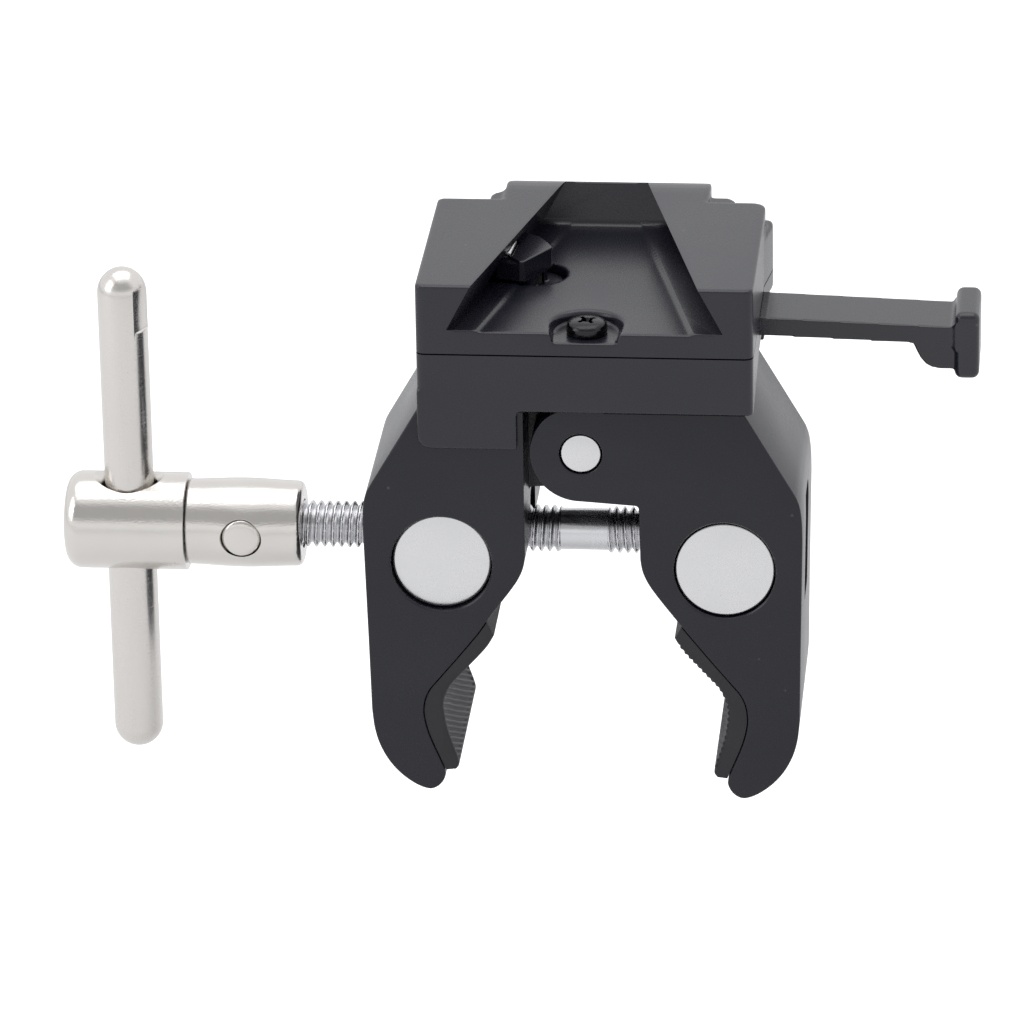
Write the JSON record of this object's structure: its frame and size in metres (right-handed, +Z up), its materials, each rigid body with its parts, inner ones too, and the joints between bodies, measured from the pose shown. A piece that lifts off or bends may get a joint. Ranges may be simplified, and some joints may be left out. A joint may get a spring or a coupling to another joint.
{
  "type": "super clamp",
  "caption": "Claw-jaw super clamp closed by a double-handed screw with a sliding T-bar, under a wedge-lock battery receiver plate with a push-bar release.",
  "frame": {"origin": "at the middle of the wedge pocket's floor, where the plate's wedge hangs over it (mount receiver_floor); the hinge pin's axis runs 23.25 mm below it, and the screw's axis 44.85 mm below it", "axes": "+X from the T-bar handle towards the release bar, +Y from the front face towards the back, +Z up through the receiver plate; the jaws open towards -Z"},
  "size_m": [0.1632, 0.057, 0.0976],
  "materials": {
    "black_anodised": "satin",
    "black_housing": "matte",
    "black_nylon": "satin",
    "rubber": "matte",
    "chrome": "polished",
    "nickel": "bright",
    "brushed_nickel": "satin",
    "zinc_steel": "bright",
    "black_steel": "satin"
  },
  "bodies": {
    "fixed_jaw": {"left_jaw": "black_anodised", "left_pad": "rubber", "lower_housing": "black_housing", "upper_housing": "black_housing", "pocket_screw": "black_steel", "jaw_bolt_front": "black_steel", "jaw_bolt_rear": "black_steel", "rear_screw_left": "black_steel", "rear_screw_right": "black_steel", "return_spring": "zinc_steel"},
    "moving_jaw": {"right_jaw": "black_anodised", "right_pad": "rubber", "hinge_pin": "chrome"},
    "left_dowel": {"left_dowel": "chrome"},
    "right_dowel": {"right_dowel": "chrome"},
    "screw_end_ring": {"screw_end_ring": "black_steel"},
    "screw_and_handle": {"clamp_screw": "zinc_steel", "cross_pin": "nickel", "neck_sleeve": "nickel", "handle_head": "nickel"},
    "t_bar": {"t_bar": "brushed_nickel"},
    "release": {"release_bar": "black_nylon", "latch_catch": "black_housing", "catch_pin": "zinc_steel", "catch_screw": "black_steel"}
  },
  "joints": [
    {"name": "jaw_pivot", "type": "hinge", "parent": "fixed_jaw", "child": "moving_jaw", "pos_m": [-0.001, -0.0079, -0.02325], "axis": [0, 1, 0], "range_deg": [-3.2, 38.2]},
    {"name": "right_dowel_turn", "type": "hinge", "parent": "moving_jaw", "child": "right_dowel", "pos_m": [0.024, -0.0079, -0.04485], "axis": [0, 1, 0], "range_deg": [-19.3, 1.8]},
    {"name": "left_dowel_turn", "type": "hinge", "parent": "fixed_jaw", "child": "left_dowel", "pos_m": [-0.026, -0.0079, -0.04485], "axis": [0, 1, 0], "range_deg": [-1.8, 19.3]},
    {"name": "screw_travel", "type": "slide", "parent": "left_dowel", "child": "screw_end_ring", "axis": [-1, 0, 0], "range_m": [-0.00062, 0.00797]},
    {"name": "screw_turn", "type": "hinge", "parent": "screw_end_ring", "child": "screw_and_handle", "pos_m": [-0.0523, -0.0079, -0.04485], "axis": [1, 0, 0], "range_deg": [-153, 1946]},
    {"name": "t_bar_slide", "type": "slide", "parent": "screw_and_handle", "child": "t_bar", "axis": [0, 0, 1], "range_m": [-0.034, 0.029]},
    {"name": "release_push", "type": "slide", "parent": "fixed_jaw", "child": "release", "axis": [-1, 0, 0], "range_m": [0, 0.006], "stiffness_N_per_m": 500, "springref_m": -0.005, "deforming": ["return_spring"]}
  ],
  "couplings": [
    {"joint": "screw_turn", "follows": "screw_travel", "rad_per_m": 4188.8},
    {"joint": "jaw_pivot", "follows": "screw_travel", "rad_per_m": 81.771},
    {"joint": "left_dowel_turn", "follows": "screw_travel", "rad_per_m": 40.885},
    {"joint": "right_dowel_turn", "follows": "screw_travel", "rad_per_m": -40.885}
  ]
}
